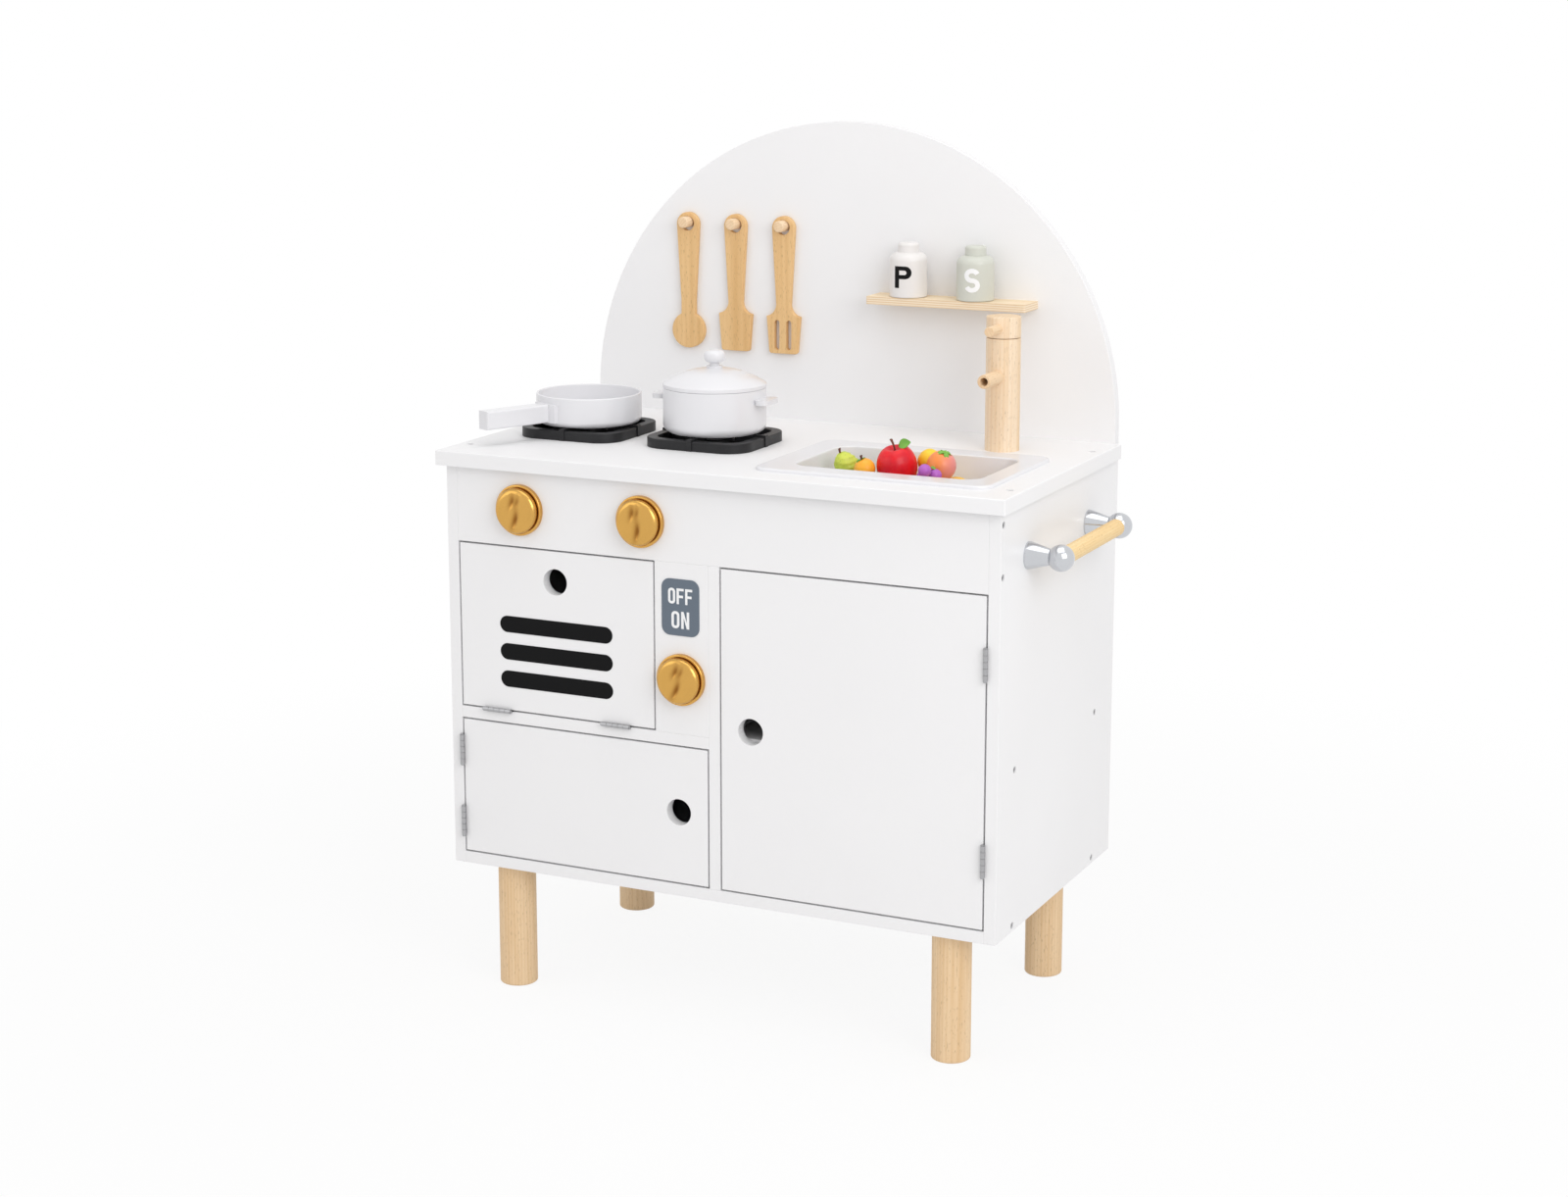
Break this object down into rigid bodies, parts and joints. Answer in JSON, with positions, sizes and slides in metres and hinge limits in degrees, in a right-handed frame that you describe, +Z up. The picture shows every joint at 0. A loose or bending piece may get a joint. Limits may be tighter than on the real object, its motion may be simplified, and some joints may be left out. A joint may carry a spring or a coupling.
{
  "type": "play kitchen",
  "caption": "Wooden play kitchen: white cabinet on round legs with oven, cupboards, hob, sink and an arched back board with hung utensils and a spice shelf.",
  "frame": {"origin": "middle of the whole footprint, towel rail included, on the floor", "axes": "+X to the user's right, +Y to the back, +Z up"},
  "size_m": [0.653, 0.345, 0.885],
  "materials": {
    "white_paint": "painted fibreboard, satin",
    "leg_beech": "clear lacquered beech",
    "tap_wood": "clear lacquered beech",
    "utensil_beech": "oiled beech",
    "shelf_ply": "ply, sealed",
    "steel": "zinc plated",
    "rail_chrome": "satin chrome",
    "gold": "metallic gold, satin",
    "black_print": "printed film, satin",
    "grate_black": "moulded, satin",
    "sink_white": "moulded, glossy",
    "pan_white": "moulded, glossy",
    "catch_plastic": "moulded",
    "pepper_white": "painted, satin",
    "salt_green": "painted, satin",
    "fruit": "hollow play fruit, glossy, in several colours"
  },
  "bodies": {
    "cabinet": {"arch_backboard": "white_paint", "back_screws": "steel", "bottom_board": "white_paint", "burner_grate_left": "grate_black", "burner_grate_right": "grate_black", "cabinet_screws": "steel", "control_fascia": "white_paint", "countertop": "white_paint", "cupboard_shelf": "white_paint", "dowel_pins": "leg_beech", "faucet_pivot_pin": "tap_wood", "faucet_post": "tap_wood", "faucet_spout": "tap_wood", "hinge_frame_leaves": "steel", "hinge_pins": "steel", "knob_bezels": "gold", "leg_back_left": "leg_beech", "leg_back_right": "leg_beech", "leg_bolts": "steel", "leg_front_left": "leg_beech", "leg_front_right": "leg_beech", "lower_back_panel": "white_paint", "magnetic_catches": "catch_plastic", "middle_divider": "white_paint", "oven_floor_board": "white_paint", "side_panel_left": "white_paint", "side_panel_right": "white_paint", "sink_basin": "sink_white", "spice_shelf": "shelf_ply", "switch_panel": "white_paint", "towel_rail_bar": "leg_beech", "towel_rail_posts": "rail_chrome", "utensil_pegs": "leg_beech"},
    "oven_door": {"oven_door": "white_paint", "oven_door_stripes": "black_print", "oven_door_hinge_leaves": "steel", "oven_door_strike": "steel"},
    "lower_door": {"lower_door": "white_paint", "lower_door_hinge_leaves": "steel", "lower_door_strike": "steel"},
    "cupboard_door": {"cupboard_door": "white_paint", "cupboard_door_hinge_leaves": "steel", "cupboard_door_strike": "steel"},
    "stove_knob_left": {"stove_knob_left": "gold"},
    "stove_knob_right": {"stove_knob_right": "gold"},
    "oven_knob": {"oven_knob": "gold"},
    "faucet_cap": {"faucet_cap": "tap_wood", "faucet_lever": "tap_wood"},
    "saucepan": {"saucepan": "pan_white", "saucepan_handle": "pan_white"},
    "cooking_pot": {"cooking_pot": "pan_white"},
    "pot_lid": {"pot_lid": "pan_white", "pot_lid_knob": "pan_white"},
    "spoon": {"spoon": "utensil_beech"},
    "spatula": {"spatula": "utensil_beech"},
    "slotted_turner": {"slotted_turner": "utensil_beech"},
    "pepper_shaker": {"pepper_shaker": "pepper_white"},
    "salt_shaker": {"salt_shaker": "salt_green"},
    "toy_fruit": {"toy_fruit": "fruit"}
  },
  "joints": [
    {"name": "oven_door_hinge", "type": "hinge", "parent": "cabinet", "child": "oven_door", "pos_m": [0, -0.1628, 0.3009], "axis": [1, 0, 0], "range_deg": [0, 90]},
    {"name": "lower_door_hinge", "type": "hinge", "parent": "cabinet", "child": "lower_door", "pos_m": [-0.3066, -0.1628, 0.144], "axis": [0, 0, -1], "range_deg": [0, 110]},
    {"name": "cupboard_door_hinge", "type": "hinge", "parent": "cabinet", "child": "cupboard_door", "pos_m": [0.2676, -0.1628, 0.144], "axis": [0, 0, 1], "range_deg": [0, 110]},
    {"name": "stove_knob_left_spin", "type": "hinge", "parent": "cabinet", "child": "stove_knob_left", "pos_m": [-0.234, -0.16, 0.511], "axis": [0, -1, 0], "continuous": true},
    {"name": "stove_knob_right_spin", "type": "hinge", "parent": "cabinet", "child": "stove_knob_right", "pos_m": [-0.097, -0.16, 0.511], "axis": [0, -1, 0], "continuous": true},
    {"name": "oven_knob_spin", "type": "hinge", "parent": "cabinet", "child": "oven_knob", "pos_m": [-0.053, -0.16, 0.356], "axis": [0, -1, 0], "continuous": true},
    {"name": "faucet_cap_turn", "type": "hinge", "parent": "cabinet", "child": "faucet_cap", "pos_m": [0.1885, 0.079, 0.68], "axis": [0, 0, 1], "range_deg": [-90, 90]},
    {"name": "saucepan_lift", "type": "slide", "parent": "cabinet", "child": "saucepan", "axis": [0, 0, 1], "range_m": [0, 0.1]},
    {"name": "cooking_pot_lift", "type": "slide", "parent": "cabinet", "child": "cooking_pot", "axis": [0, 0, 1], "range_m": [0, 0.1]},
    {"name": "pot_lid_lift", "type": "slide", "parent": "cooking_pot", "child": "pot_lid", "axis": [0, 0, 1], "range_m": [0, 0.06]},
    {"name": "spoon_unhook", "type": "slide", "parent": "cabinet", "child": "spoon", "axis": [0, -1, 0], "range_m": [0, 0.035]},
    {"name": "spatula_unhook", "type": "slide", "parent": "cabinet", "child": "spatula", "axis": [0, -1, 0], "range_m": [0, 0.035]},
    {"name": "slotted_turner_unhook", "type": "slide", "parent": "cabinet", "child": "slotted_turner", "axis": [0, -1, 0], "range_m": [0, 0.035]},
    {"name": "pepper_shaker_lift", "type": "slide", "parent": "cabinet", "child": "pepper_shaker", "axis": [0, 0, 1], "range_m": [0, 0.06]},
    {"name": "salt_shaker_lift", "type": "slide", "parent": "cabinet", "child": "salt_shaker", "axis": [0, 0, 1], "range_m": [0, 0.06]},
    {"name": "toy_fruit_lift", "type": "slide", "parent": "cabinet", "child": "toy_fruit", "axis": [0, 0, 1], "range_m": [0, 0.1]}
  ]
}
